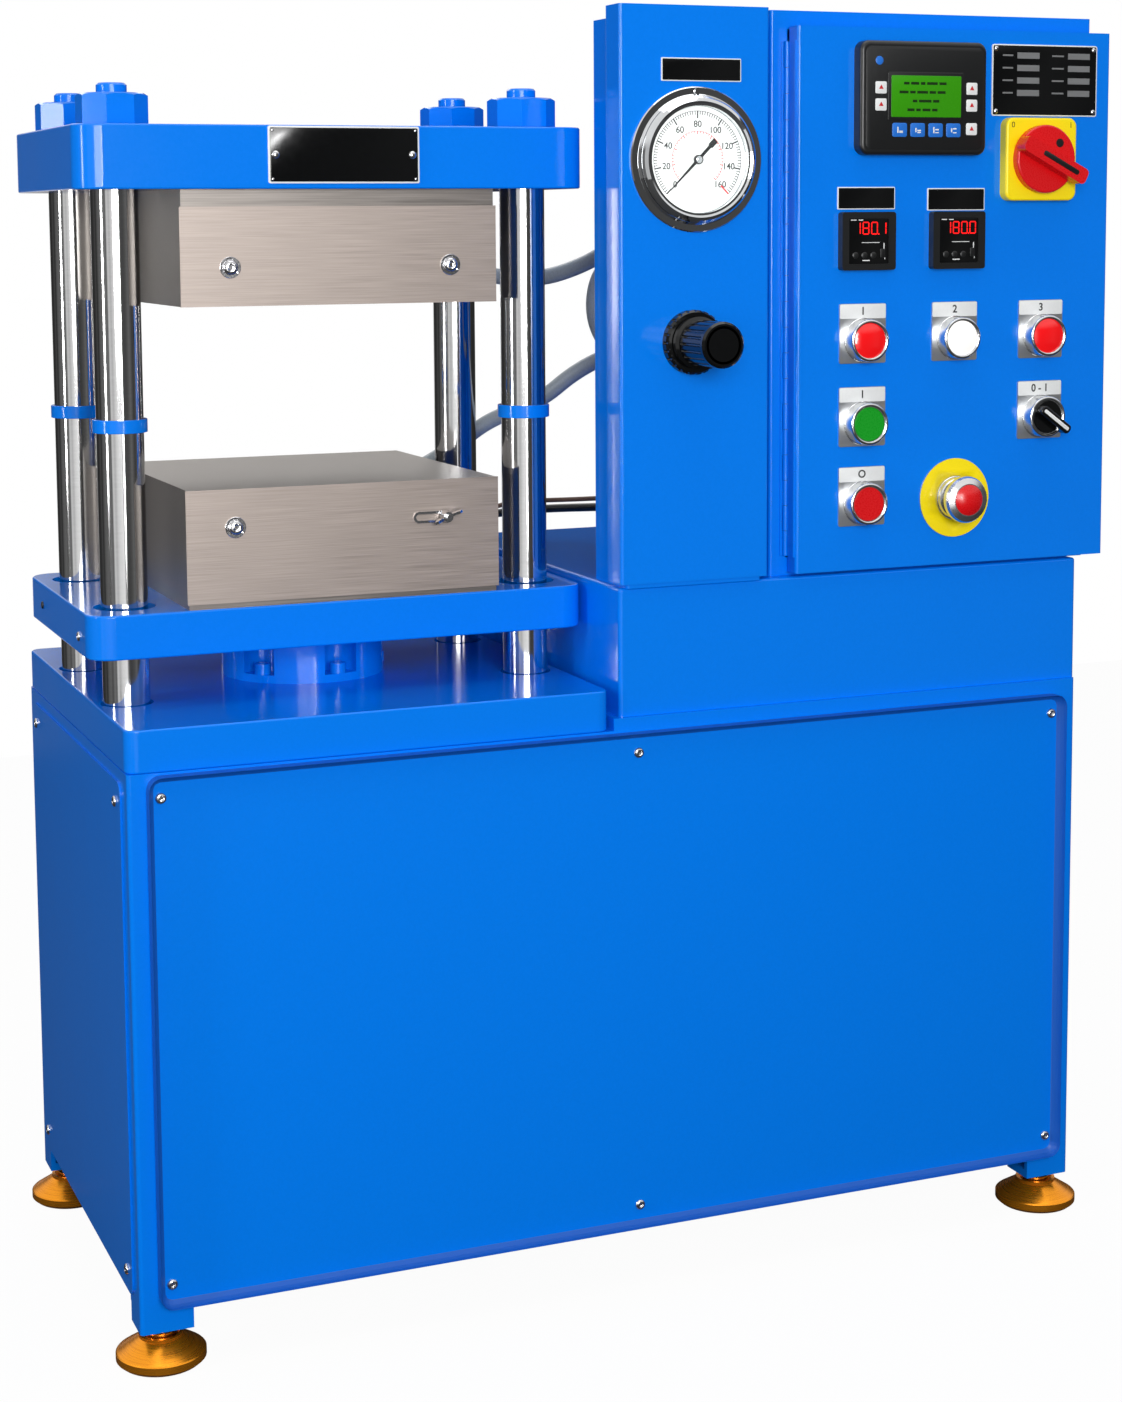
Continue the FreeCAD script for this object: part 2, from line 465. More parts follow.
def stop_collars():
    """Split rings on three of the rods: they stop the bolster at the end of its stroke."""
    collars = []
    for x, y in (ROD_CORNERS[0], ROD_CORNERS[1], ROD_CORNERS[2]):
        ring = rod(COLLAR_R, (x, y, COLLAR_Z), COLLAR_H)
        ring = ring.makeFillet(COLLAR_EDGE_R, [e for e in ring.Edges if is_circle(e)])
        bore = rod(ROD_R + SEAT_FIT, (x, y, COLLAR_Z - 1), COLLAR_H + 2)
        slit = box(x - COLLAR_SPLIT / 2, x + COLLAR_SPLIT / 2, y, y + COLLAR_R + 1,
                   COLLAR_Z - 1, COLLAR_Z + COLLAR_H + 1)
        collars.append(ring.cut([bore, slit]))
    return group(collars)


# ---- hydraulic cylinder ------------------------------------------------------------------
def head_bolt_axes():
    """X and Y of the bolts in the scallops of the cylinder head."""
    axes = []
    for i in range(SCALLOP_COUNT):
        angle = math.radians(SCALLOP_FIRST_DEG + 360 / SCALLOP_COUNT * i)
        axes.append((PRESS_X + HEAD_BOLT_CIRCLE_R * math.cos(angle),
                     PRESS_Y + HEAD_BOLT_CIRCLE_R * math.sin(angle)))
    return axes


def cylinder():
    """Barrel under the bed, scalloped head on it, its bolts and the ram."""
    barrel = rod(BARREL_R, (PRESS_X, PRESS_Y, BARREL_BOTTOM_Z), BED_Z1 - BARREL_BOTTOM_Z)
    bore_z = BARREL_BOTTOM_Z + BARREL_FLOOR
    port_z = bore_z + RAM_SPIGOT_H / 2
    barrel = barrel.cut([rod(BARREL_BORE_R, (PRESS_X, PRESS_Y, bore_z), BED_Z1 - bore_z + 1),
                         rod(PIPE_R, (PRESS_X + BARREL_BORE_R - 1, PRESS_Y, port_z), BARREL_R, X_AXIS)])
    head = rod(HEAD_R, (PRESS_X, PRESS_Y, BED_Z1), HEAD_H)
    head = head.makeFillet(PLATE_EDGE_R, [e for e in head.Edges
                                          if is_circle(e) and e.BoundBox.ZMin > BED_Z1 + HEAD_H / 2])
    cuts = [rod(RAM_R + RUNNING_FIT, (PRESS_X, PRESS_Y, BED_Z1 - 1), HEAD_H + 2)]
    bolts = []
    for x, y in head_bolt_axes():
        seat_z = BED_Z1 + HEAD_FOOT_H
        outward = V(x - PRESS_X, y - PRESS_Y, 0).normalize()
        pocket = rod(SCALLOP_R, (x, y, seat_z), HEAD_H)
        mouth = block(0, 0, seat_z + HEAD_H / 2, SCALLOP_R * 2, SCALLOP_R * 2, HEAD_H)
        mouth.rotate(V(0, 0, 0), Z_AXIS, math.degrees(math.atan2(outward.y, outward.x)))
        mouth.translate(V(x, y, 0) + outward * SCALLOP_R)
        cuts += [pocket, mouth, rod(HEAD_BOLT_R + BOLT_CLEARANCE, (x, y, BED_Z1 - 1), HEAD_H)]
        bolt = rod(HEAD_BOLT_HEAD_R, (x, y, seat_z), HEAD_BOLT_HEAD_H)
        bolt = bolt.fuse(rod(HEAD_BOLT_R, (x, y, BED_Z1 - HEAD_BOLT_L + 2), HEAD_BOLT_L + HEAD_FOOT_H))
        socket = rod(HEAD_BOLT_HEAD_R / 2, (x, y, seat_z + HEAD_BOLT_HEAD_H / 2), HEAD_BOLT_HEAD_H)
        bolts.append(bolt.removeSplitter().cut(socket))
    ram = turned([(0, RAM_BOTTOM_Z), (RAM_R - RAM_CHAMFER, RAM_BOTTOM_Z), (RAM_R, RAM_BOTTOM_Z + RAM_CHAMFER),
                  (RAM_R, BOLSTER_Z), (RAM_SPIGOT_R, BOLSTER_Z), (RAM_SPIGOT_R, BOLSTER_Z + RAM_SPIGOT_H),
                  (0, BOLSTER_Z + RAM_SPIGOT_H)], (PRESS_X, PRESS_Y, 0), Z_AXIS)
    return {"cylinder_barrel": barrel, "cylinder_head": head.cut(cuts),
            "cylinder_bolts": group(bolts), "ram": ram}


# ---- bolster and platens -----------------------------------------------------------------
def moving_bolster():
    """The plate that the ram lifts, bored for the guide bushes."""
    plate = rounded_plate(PRESS_X, PRESS_Y, BOLSTER_W, BOLSTER_D, BOLSTER_Z, BOLSTER_T, BOLSTER_CORNER_R)
    holes = [rod(BUSH_R, (x, y, BOLSTER_Z - 1), BOLSTER_T + 2) for x, y in ROD_CORNERS]
    holes.append(rod(RAM_SPIGOT_R + SEAT_FIT, (PRESS_X, PRESS_Y, BOLSTER_Z - 1), RAM_SPIGOT_H + 1))
    return plate.cut(holes)


def guide_bushes():
    """Bronze bushes pressed into the bolster; they run on the tie rods."""
    height = BOLSTER_T - BUSH_RECESS
    return group([rod(BUSH_R - SEAT_FIT, (x, y, BOLSTER_Z), height)
                  .cut(rod(ROD_R + RUNNING_FIT, (x, y, BOLSTER_Z - 1), height + 2)) for x, y in ROD_CORNERS])


def heater_axes():
    """X of the cartridge heaters in a platen."""
    return [PRESS_X + (i - (HEATER_COUNT - 1) / 2) * HEATER_PITCH for i in range(HEATER_COUNT)]


def heated_platen(z0):
    """A ground steel platen: blind bores for the heaters, each with a terminal pocket behind the cover."""
    y0, y1 = PLATEN_FRONT_Y, PLATEN_FRONT_Y + PLATEN_D
    mid_z = z0 + PLATEN_T / 2
    plate = box(PRESS_X - PLATEN_W / 2, PRESS_X + PLATEN_W / 2, y0, y1, z0, z0 + PLATEN_T)
    cuts = []
    for x in heater_axes():
        cuts.append(block(x, y0 + POCKET_DEPTH / 2, mid_z, POCKET_W, POCKET_DEPTH, POCKET_H))
        cuts.append(rod(HEATER_R + BOLT_CLEARANCE, (x, y0, mid_z), PLATEN_D - HEATER_END_WALL, Y_AXIS))
    for x in (PRESS_X - COVER_SCREW_X, PRESS_X + COVER_SCREW_X, PRESS_X + STUD_X):
        cuts.append(rod(COVER_SCREW_R + SEAT_FIT, (x, y0 - 1, mid_z), COVER_SCREW_DEPTH + 1, Y_AXIS))
    return plate.cut(cuts)


def heaters(z0):
    """Cartridge heaters, their tails in the wiring pocket."""
    start_y = PLATEN_FRONT_Y + POCKET_DEPTH - HEATER_TAIL
    length = PLATEN_D - POCKET_DEPTH - HEATER_END_WALL + HEATER_TAIL
    return group([rod(HEATER_R, (x, start_y, z0 + PLATEN_T / 2), length, Y_AXIS) for x in heater_axes()])


def front_cover(z0, z1, holes):
    """The brushed sheet in front of a platen; holes are (x, z, radius)."""
    y1 = PLATEN_FRONT_Y
    sheet = box(PRESS_X - COVER_W / 2, PRESS_X + COVER_W / 2, y1 - COVER_T, y1, z0, z1)
    return sheet.cut([rod(r, (x, y1 - COVER_T - 1, z), COVER_T + 2, Y_AXIS) for x, z, r in holes])


def upper_set():
    """What hangs under the crown: insulating spacer, platen, heaters and cover."""
    half_w = PLATEN_W / 2
    spacer = box(PRESS_X - half_w, PRESS_X + half_w, PLATEN_FRONT_Y, PLATEN_FRONT_Y + PLATEN_D,
                 UPPER_SPACER_Z, CROWN_Z)
    mid_z = UPPER_FACE_Z + PLATEN_T / 2
    hole_r = COVER_SCREW_R + BOLT_CLEARANCE
    holes = [(PRESS_X + side * COVER_SCREW_X, mid_z, hole_r) for side in (-1, 1)]
    return {"upper_spacer": spacer, "upper_platen": heated_platen(UPPER_FACE_Z),
            "upper_heaters": heaters(UPPER_FACE_Z),
            "upper_cover": front_cover(UPPER_FACE_Z, CROWN_Z - UPPER_COVER_GAP, holes)}


def lower_set():
    """What stands on the bolster: spacer, platen, heaters, cover, and its stud, clip and wing nut."""
    half_w = PLATEN_W / 2
    spacer = box(PRESS_X - half_w, PRESS_X + half_w, PLATEN_FRONT_Y, PLATEN_FRONT_Y + PLATEN_D,
                 BOLSTER_Z1, LOWER_PLATEN_Z)
    mid_z = LOWER_PLATEN_Z + PLATEN_T / 2
    screw_x, stud_x = PRESS_X - COVER_SCREW_X, PRESS_X + STUD_X
    hole_r = COVER_SCREW_R + BOLT_CLEARANCE
    holes = [(screw_x, mid_z, hole_r), (stud_x, mid_z, hole_r)]
    face_y = PLATEN_FRONT_Y - COVER_T
    stud = fuse([rod(WING_STUD_R, (stud_x, face_y - WING_STUD_OUT, mid_z), WING_STUD_OUT + COVER_T, Y_AXIS),
                 rod(COVER_SCREW_R, (stud_x, PLATEN_FRONT_Y, mid_z), COVER_SCREW_DEPTH - 1, Y_AXIS)])
    clip = slot_ring(stud_x - CLIP_L / 2 + CLIP_H / 2, face_y, mid_z)
    return {"lower_spacer": spacer, "lower_platen": heated_platen(LOWER_PLATEN_Z),
            "lower_heaters": heaters(LOWER_PLATEN_Z),
            "lower_cover": front_cover(BOLSTER_Z1 + LOWER_COVER_GAP, MOULD_FACE_Z, holes),
            "cover_clip": group([stud, clip]), "wing_nut": wing_nut(stud_x, face_y - CLIP_T, mid_z)}


def slot_ring(cx, y, cz):
    """The flat slotted clip that the wing nut holds on the cover."""
    def link(length, height):
        straight = length - height
        body = block(cx, y - CLIP_T / 2, cz, straight, CLIP_T, height)
        ends = [rod(height / 2, (cx + s * straight / 2, y - CLIP_T, cz), CLIP_T, Y_AXIS) for s in (-1, 1)]
        return fuse([body] + ends)
    return link(CLIP_L, CLIP_H).cut(link(CLIP_L - 2 * CLIP_WIRE, CLIP_H - 2 * CLIP_WIRE))


def wing_nut(x, y, z):
    """A wing nut on its stud: a tapered hub and two leaning wings."""
    hub = Part.makeCone(WING_HUB_R, WING_HUB_TOP_R, WING_HUB_H, V(0, 0, 0), FRONT)
    wings = []
    for side in (-1, 1):
        profile = [V(side * WING_HUB_TOP_R * 0.6, 0, 0), V(side * WING_HUB_TOP_R * 0.6, -WING_HUB_H * 0.8, 0),
                   V(side * WING_REACH * 0.8, -WING_H, 0), V(side * WING_REACH, -WING_H * 0.85, 0),
                   V(side * WING_REACH * 0.75, -WING_H * 0.3, 0)]
        face = Part.Face(Part.makePolygon(profile + [profile[0]]))
        wing = face.extrude(V(0, 0, WING_T))
        wing.translate(V(0, 0, -WING_T / 2))
        wings.append(wing)
    nut = fuse([hub] + wings)
    nut = nut.cut(rod(WING_STUD_R + RUNNING_FIT, (0, -WING_STUD_OUT, 0), WING_STUD_OUT * 2, Y_AXIS))
    nut.rotate(V(0, 0, 0), Y_AXIS, -WING_TURN_DEG)
    nut.translate(V(x, y, z))
    return nut


# ---- pedestal and power unit -------------------------------------------------------------
def pedestal_box():
    """The folded box between the base and the cabinets, open below."""
    outer = round_upright(box(PEDESTAL_X0, PEDESTAL_X1, PEDESTAL_Y0, PEDESTAL_Y1, DECK_Z, PEDESTAL_Z1),
                          PEDESTAL_EDGE_R)
    outer = round_rim(outer, PEDESTAL_EDGE_R - 1, (PEDESTAL_Z1,))
    wall = PEDESTAL_WALL
    inner = box(PEDESTAL_X0 + wall, PEDESTAL_X1 - wall, PEDESTAL_Y0 + wall, PEDESTAL_Y1 - wall,
                DECK_Z - 1, PEDESTAL_Z1 - wall)
    return outer.cut(inner)


def power_unit():
    """Oil tank with its motor and pump, and the pressure pipe to the cylinder."""
    z0 = FRONT_RAIL_Z + ANGLE_T + TRAY_T
    tank = round_upright(box(TANK_X, TANK_X + TANK_W, TANK_Y, TANK_Y + TANK_D, z0, z0 + TANK_H), BED_CORNER_R)
    shaft_y = TANK_Y + TANK_D / 2
    motor_z = z0 + TANK_H
    pump_x = TANK_X + PUMP_R * 2
    motor_x = TANK_X + TANK_W - MOTOR_R - PUMP_R
    motor = rod(MOTOR_R, (motor_x, shaft_y, motor_z), MOTOR_L)
    pump = rod(PUMP_R, (pump_x, shaft_y, motor_z), PUMP_L)
    port_z = BARREL_BOTTOM_Z + BARREL_FLOOR + RAM_SPIGOT_H / 2
    route = [V(PRESS_X + BARREL_R - COUNTERBORE_DEPTH, PRESS_Y, port_z), V(pump_x, PRESS_Y, port_z),
             V(pump_x, PRESS_Y, motor_z + PUMP_L)]
    pipe = tube(route, PIPE_R - SEAT_FIT, fixed_radius=PIPE_BEND_R)[0]
    return {"hydraulic_power_unit": group([tank, motor, pump, pipe])}


# ---- pneumatic cabinet -------------------------------------------------------------------
def gauge():
    """The panel gauge: case with a stepped bezel, glass and pointer."""
    centre = (GAUGE_X, PNEU_FRONT_Y, GAUGE_Z)
    top = GAUGE_BEZEL_H
    dial_h = GAUGE_FLANGE_T
    case = turned([(0, -GAUGE_CASE_L), (GAUGE_CASE_R - 3, -GAUGE_CASE_L), (GAUGE_CASE_R, -GAUGE_CASE_L + 3),
                   (GAUGE_CASE_R, 0), (GAUGE_FLANGE_R, 0), (GAUGE_FLANGE_R, GAUGE_FLANGE_T - 1),
                   (GAUGE_FLANGE_R - 1, GAUGE_FLANGE_T), (GAUGE_BEZEL_R + 2, GAUGE_FLANGE_T),
                   (GAUGE_BEZEL_R, GAUGE_FLANGE_T + 2), (GAUGE_BEZEL_R, top - 4),
                   (GAUGE_BEZEL_R - 2, top - 2), (GAUGE_DIAL_R + 4, top), (GAUGE_DIAL_R + 2, top - 1),
                   (GAUGE_DIAL_R, top - GAUGE_GLASS_SET), (GAUGE_DIAL_R, dial_h),
                   (POINTER_HUB_R / 3, dial_h), (POINTER_HUB_R / 3, dial_h + 3), (0, dial_h + 3)], centre)
    screw = rod(3.0, (GAUGE_X, PNEU_FRONT_Y - GAUGE_FLANGE_T, GAUGE_Z + (GAUGE_FLANGE_R + GAUGE_BEZEL_R) / 2),
                1.5, FRONT)
    case = case.fuse(screw).removeSplitter()
    glass_h = top - GAUGE_GLASS_SET - GAUGE_GLASS_T
    glass = rod(GAUGE_DIAL_R - SEAT_FIT, (GAUGE_X, PNEU_FRONT_Y - glass_h, GAUGE_Z), GAUGE_GLASS_T, FRONT)
    arm_y = PNEU_FRONT_Y - dial_h - 1.5
    block_x = TAIL_BLOCK_L - POINTER_TAIL
    upper = [(-POINTER_TAIL, TAIL_BLOCK_W / 2), (block_x, TAIL_BLOCK_W / 2), (block_x, POINTER_W / 2),
             (0, POINTER_W / 2), (POINTER_TIP, POINTER_T / 3)]
    outline = upper + [(x, -half_w) for x, half_w in reversed(upper)] + upper[:1]
    arm = Part.Face(Part.makePolygon([V(x, arm_y, z) for x, z in outline])).extrude(V(0, -POINTER_T, 0))
    hub = rod(POINTER_HUB_R, (0, arm_y + 0.5, 0), 3.0, FRONT)
    pointer = fuse([arm, hub]).cut(rod(POINTER_HUB_R / 3 + RUNNING_FIT, (0, arm_y + 1, 0), 2.6, FRONT))
    pointer.rotate(V(0, 0, 0), Y_AXIS, -POINTER_REST_DEG)
    pointer.translate(V(GAUGE_X, 0, GAUGE_Z))
    return {"gauge_case": case, "gauge_lens": glass, "gauge_pointer": pointer}


def regulator():
    """The pressure regulator: body with its panel nut, stem and ribbed pull-to-turn knob."""
    point = (REG_X, PNEU_FRONT_Y, REG_Z)
    bore_r = REG_STEM_R + RUNNING_FIT
    body = turned([(0, -REG_BODY_L), (REG_BODY_R, -REG_BODY_L), (REG_BODY_R, 0), (REG_NUT_R, 0),
                   (REG_NUT_R, REG_NUT_T - 2), (REG_NUT_R - 2, REG_NUT_T), (bore_r, REG_NUT_T),
                   (bore_r, -REG_BODY_R), (0, -REG_BODY_R)], point)
    cuts = []
    for i in range(NUT_RIBS):
        dx, dz = polar(REG_NUT_R, 360 / NUT_RIBS * i)
        start = (REG_X + dx, PNEU_FRONT_Y - REG_NUT_T - 1, REG_Z + dz)
        cuts.append(rod(REG_RIB_R, start, REG_NUT_T - 1, Y_AXIS))
    body = body.cut(cuts)
    knob_back = REG_NUT_T + REG_KNOB_GAP
    knob_front = PNEU_FRONT_Y - REG_KNOB_FRONT_Y
    bore_end = knob_front - 8
    stem_front = bore_end - 1
    stem = rod(REG_STEM_R, (REG_X, PNEU_FRONT_Y + REG_BODY_R - 1, REG_Z), stem_front + REG_BODY_R - 1, FRONT)
    knob = turned([(bore_r, knob_back), (REG_KNOB_R + 3, knob_back),
                   (REG_KNOB_R + 3, knob_back + 5), (REG_KNOB_R, knob_back + 7), (REG_KNOB_R, knob_front - 2),
                   (REG_KNOB_R - 2, knob_front), (0, knob_front), (0, bore_end), (bore_r, bore_end)], point)
    flutes = []
    for i in range(REG_RIBS):
        dx, dz = polar(REG_KNOB_R, 360 / REG_RIBS * i)
        flutes.append(rod(REG_RIB_R, (REG_X + dx, PNEU_FRONT_Y - knob_back - 9, REG_Z + dz),
                          knob_front - knob_back - 15, FRONT))
    return {"regulator_body": body, "regulator_stem": stem, "regulator_knob": knob.cut(flutes)}


def pneumatic_cabinet():
    """The narrow cabinet: a folded body and the deeper cover that closes it."""
    x0, x1 = PNEU_X0 + PNEU_BODY_INSET, PNEU_X1 - PNEU_BODY_INSET
    y0 = PNEU_FRONT_Y + CABINET_WALL
    z1 = PNEU_Z1 - PNEU_BODY_DROP
    wall = CABINET_WALL
    body = round_upright(box(x0, x1, y0, PNEU_BACK_Y, PEDESTAL_Z1, z1), CABINET_EDGE_R)
    cavity = box(x0 + wall, x1 - wall, y0 + wall, PNEU_BACK_Y - wall, PEDESTAL_Z1 + wall, z1 - wall)
    mouth = box(x0 + CABINET_LIP, x1 - CABINET_LIP, y0 - 1, y0 + wall + 1,
                PEDESTAL_Z1 + CABINET_LIP, z1 - CABINET_LIP)
    gauge_room = rod(GAUGE_CASE_R + 3, (GAUGE_X, y0 - 1, GAUGE_Z), wall + 2, Y_AXIS)
    body = body.cut([cavity, mouth, gauge_room])
    cover = round_upright(box(PNEU_X0, PNEU_X1, PNEU_FRONT_Y, PNEU_FRONT_Y + PNEU_COVER_D, PNEU_Z0, PNEU_Z1),
                          CABINET_EDGE_R)
    hollow = box(PNEU_X0 + wall, PNEU_X1 - wall, y0, PNEU_FRONT_Y + PNEU_COVER_D + 1,
                 PNEU_Z0 + wall, PNEU_Z1 - wall)
    bottom_notch = box(x0 - SOFT_GAP, x1 + SOFT_GAP, y0, PNEU_FRONT_Y + PNEU_COVER_D + 1,
                       PNEU_Z0 - 1, PNEU_Z0 + wall + 1)
    holes = [rod(GAUGE_CASE_R + BOLT_CLEARANCE, (GAUGE_X, PNEU_FRONT_Y - 1, GAUGE_Z), wall + 2, Y_AXIS),
             rod(REG_BODY_R + BOLT_CLEARANCE, (REG_X, PNEU_FRONT_Y - 1, REG_Z), wall + 2, Y_AXIS)]
    return {"pneumatic_body": body, "pneumatic_cover": cover.cut([hollow, bottom_notch] + holes)}


# ---- electrical cabinet ------------------------------------------------------------------
def electrical_body():
    """The deep cabinet behind the door, with a lip around its mouth and glands in its left wall."""
    wall = CABINET_WALL
    body = box(ELEC_X0, ELEC_X1, ELEC_FRONT_Y, ELEC_BACK_Y, PEDESTAL_Z1, ELEC_Z1)
    body = round_upright(body, CABINET_EDGE_R)
    cavity = box(ELEC_X0 + wall, ELEC_X1 - wall, ELEC_FRONT_Y + wall, ELEC_BACK_Y - wall,
                 PEDESTAL_Z1 + wall, ELEC_Z1 - wall)
    mouth = box(ELEC_X0 + ELEC_LIP, ELEC_X1 - ELEC_LIP, ELEC_FRONT_Y - 1, ELEC_FRONT_Y + wall + 1,
                PEDESTAL_Z1 + ELEC_LIP, ELEC_Z1 - ELEC_LIP)
    holes = [rod(radius, (ELEC_X0 - 1, y, z), wall + 2, X_AXIS)
             for (y, z), radius in ((UPPER_IN, CONDUIT_R), (LOWER_IN, CONDUIT_R), (CABLE_IN, CABLE_R),
                                    (SIGNAL_IN, SIGNAL_R))]
    return body.cut([cavity, mouth] + holes)


def control_gear():
    """Mounting plate on standoffs, DIN rails and the gear on them, as separate solids."""
    back = ELEC_BACK_Y - CABINET_WALL
    plate_y = back - PLATE_STANDOFF
    x0, x1 = ELEC_X0 + PLATE_MARGIN, ELEC_X1 - PLATE_MARGIN
    z0, z1 = PEDESTAL_Z1 + PLATE_MARGIN + CABINET_LIP, ELEC_Z1 - PLATE_MARGIN - CABINET_LIP
    plate = box(x0, x1, plate_y - PLATE_T, plate_y, z0, z1)
    standoffs = [rod(5.0, (x, plate_y, z), PLATE_STANDOFF, Y_AXIS)
                 for x in (x0 + CABINET_LIP, x1 - CABINET_LIP) for z in (z0 + CABINET_LIP, z1 - CABINET_LIP)]
    solids = [fuse([plate] + standoffs)]
    face_y = plate_y - PLATE_T
    for row, share in enumerate(RAIL_ROWS):
        z = z0 + (z1 - z0) * share
        rail_x0, rail_x1 = x0 + CABINET_LIP, x1 - CABINET_LIP
        gear_y = face_y - DIN_RAIL_T
        solids.append(box(rail_x0, rail_x1, gear_y, face_y, z - DIN_RAIL_H / 2, z + DIN_RAIL_H / 2))
        if row == len(RAIL_ROWS) - 1:
            for i in range(TERMINAL_COUNT):
                x = rail_x0 + GEAR_GAP + i * (TERMINAL_W + 1)
                solids.append(box(x, x + TERMINAL_W, gear_y - TERMINAL_D, gear_y,
                                  z - TERMINAL_H / 2, z + TERMINAL_H / 2))
            continue
        x = rail_x0 + GEAR_GAP
        for width, height, depth in GEAR_SIZES:
            solids.append(stepped_gear(x, gear_y, z, width, height, depth))
            x += width + GEAR_GAP
    return group(solids)


def stepped_gear(x, y, z, width, height, depth):
    """A contactor or relay on its rail: a wide foot and a narrower front."""
    foot = box(x, x + width, y - depth * 0.6, y, z - height / 2, z + height / 2)
    nose = box(x + 2, x + width - 2, y - depth, y - depth * 0.6, z - height * 0.27, z + height * 0.27)
    return fuse([foot, nose])


def hinge():
    """The continuous hinge: alternate knuckles on two leaves and one long pin."""
    z0, z1 = HINGE_Z0, HINGE_Z1
    pitch = (z1 - z0) / KNUCKLE_COUNT
    fixed = [box(HINGE_X - FIXED_LEAF_W, HINGE_X, ELEC_FRONT_Y - LEAF_T, ELEC_FRONT_Y, z0, z1)]
    swing = [box(DOOR_X0 - LEAF_T, DOOR_X0, HINGE_Y - DOOR_LEAF_W, HINGE_Y, z0, z1)]
    clear_fixed, clear_swing = [], []
    for i in range(KNUCKLE_COUNT):
        low, high = z0 + pitch * i, z0 + pitch * (i + 1)
        knuckle = rod(KNUCKLE_R, (HINGE_X, HINGE_Y, low + PIN_GAP / 2), pitch - PIN_GAP)
        room = rod(KNUCKLE_R + PIN_GAP, (HINGE_X, HINGE_Y, low - PIN_GAP / 2), high - low + PIN_GAP)
        (fixed if i % 2 == 0 else swing).append(knuckle)
        (clear_swing if i % 2 == 0 else clear_fixed).append(room)
    eye = rod(HINGE_PIN_R + RUNNING_FIT, (HINGE_X, HINGE_Y, z0 - 1), z1 - z0 + 2)
    fixed_leaf = fuse([fixed[0].cut(clear_fixed)] + fixed[1:]).cut(eye)
    door_leaf = fuse([swing[0].cut(clear_swing)] + swing[1:]).cut(eye)
    pin = rod(HINGE_PIN_R, (HINGE_X, HINGE_Y, z0), z1 - z0)
    return {"hinge_frame_leaf": fixed_leaf, "hinge_door_leaf": door_leaf, "hinge_pin": pin}


def device_axes():
    """X, Z and kind of each round device on the door."""
    left, middle, right = COLUMN_X
    top, centre, bottom = ROW_Z
    return [(left, top, "lamp"), (middle, top, "lamp"), (right, top, "lamp"), (left, centre, "start"),
            (left, bottom, "stop"), (right, centre, "selector"), (ESTOP_X, bottom, "estop")]


def electrical_door():
    """The door, a deep pan with a cut-out for every device."""
    door = pan(DOOR_X0, DOOR_X1, DOOR_FRONT_Y, DOOR_D, DOOR_Z0, DOOR_Z1, CABINET_WALL, DOOR_LIP, DOOR_EDGE_R)
    y0, deep = DOOR_FRONT_Y - 1, CABINET_WALL + 2
    holes = [rod(BEZEL_BARREL_R + BOLT_CLEARANCE, (x, y0, z), deep, Y_AXIS) for x, z, _ in device_axes()]
    window = (HMI_CASE_W + 2 * BOLT_CLEARANCE, HMI_CASE_H + 2 * BOLT_CLEARANCE)
    holes.append(block(HMI_X, y0 + deep / 2, HMI_Z, window[0], deep, window[1]))
    for x in CTRL_X:
        side = CTRL_CASE + 2 * BOLT_CLEARANCE
        holes.append(block(x, y0 + deep / 2, CTRL_Z, side, deep, side))
    side = SWITCH_BODY + 2 * BOLT_CLEARANCE
    holes.append(block(SWITCH_X, y0 + deep / 2, SWITCH_Z, side, deep, side))
    return door.cut(holes)


def legend_plate(x, z, kind):
    """The plate between the door and the ring of a round device."""
    y = DOOR_FRONT_Y
    if kind == "estop":
        plate = rod(ESTOP_DISC_R, (x, y, z), LEGEND_T, FRONT)
    else:
        plate = box(x - LEGEND_W / 2, x + LEGEND_W / 2, y - LEGEND_T, y, z - LEGEND_BELOW, z + LEGEND_ABOVE)
        plate = round_front(plate, LEGEND_CORNER_R)
    return plate.cut(rod(BEZEL_BARREL_R + BOLT_CLEARANCE, (x, y - LEGEND_T - 1, z), LEGEND_T + 2, Y_AXIS))


def bezel_block(x, z, kind):
    """The fixed body of a round device: chromed ring, threaded barrel and contact block."""
    y = DOOR_FRONT_Y - LEGEND_T
    barrel_back = DOOR_FRONT_Y + BEZEL_BARREL_D
    front = ESTOP_BEZEL_T if kind == "estop" else BEZEL_T
    wide_r = {"lamp": LENS_R, "estop": ESTOP_NECK_R}.get(kind, PLUNGER_R) + RUNNING_FIT
    floor = BEZEL_T - LENS_SET if kind == "lamp" else BEZEL_BORE_FLOOR
    ring = turned([(0, 0), (BEZEL_R, 0), (BEZEL_R, BEZEL_FLANGE_T - 0.5), (BEZEL_R - 0.5, BEZEL_FLANGE_T),
                   (BEZEL_R - 1, BEZEL_FLANGE_T), (BEZEL_FRONT_R, front - 1), (BEZEL_FRONT_R - 1, front),
                   (wide_r, front), (wide_r, floor), (0, floor)], (x, y, z))
    body = fuse([ring, rod(BEZEL_BARREL_R, (x, y, z), barrel_back - y, Y_AXIS),
                 block(x, barrel_back + BLOCK_D / 2, z, BLOCK_W, BLOCK_D, BLOCK_H)])
    if kind == "lamp":
        return body
    bore_back = PLUNGER_BACK + ESTOP_TRAVEL + 1
    bore = rod(PLUNGER_STEM_R + RUNNING_FIT, (x, y - floor - 1, z), floor + 1 + bore_back, Y_AXIS)
    return body.cut(bore)


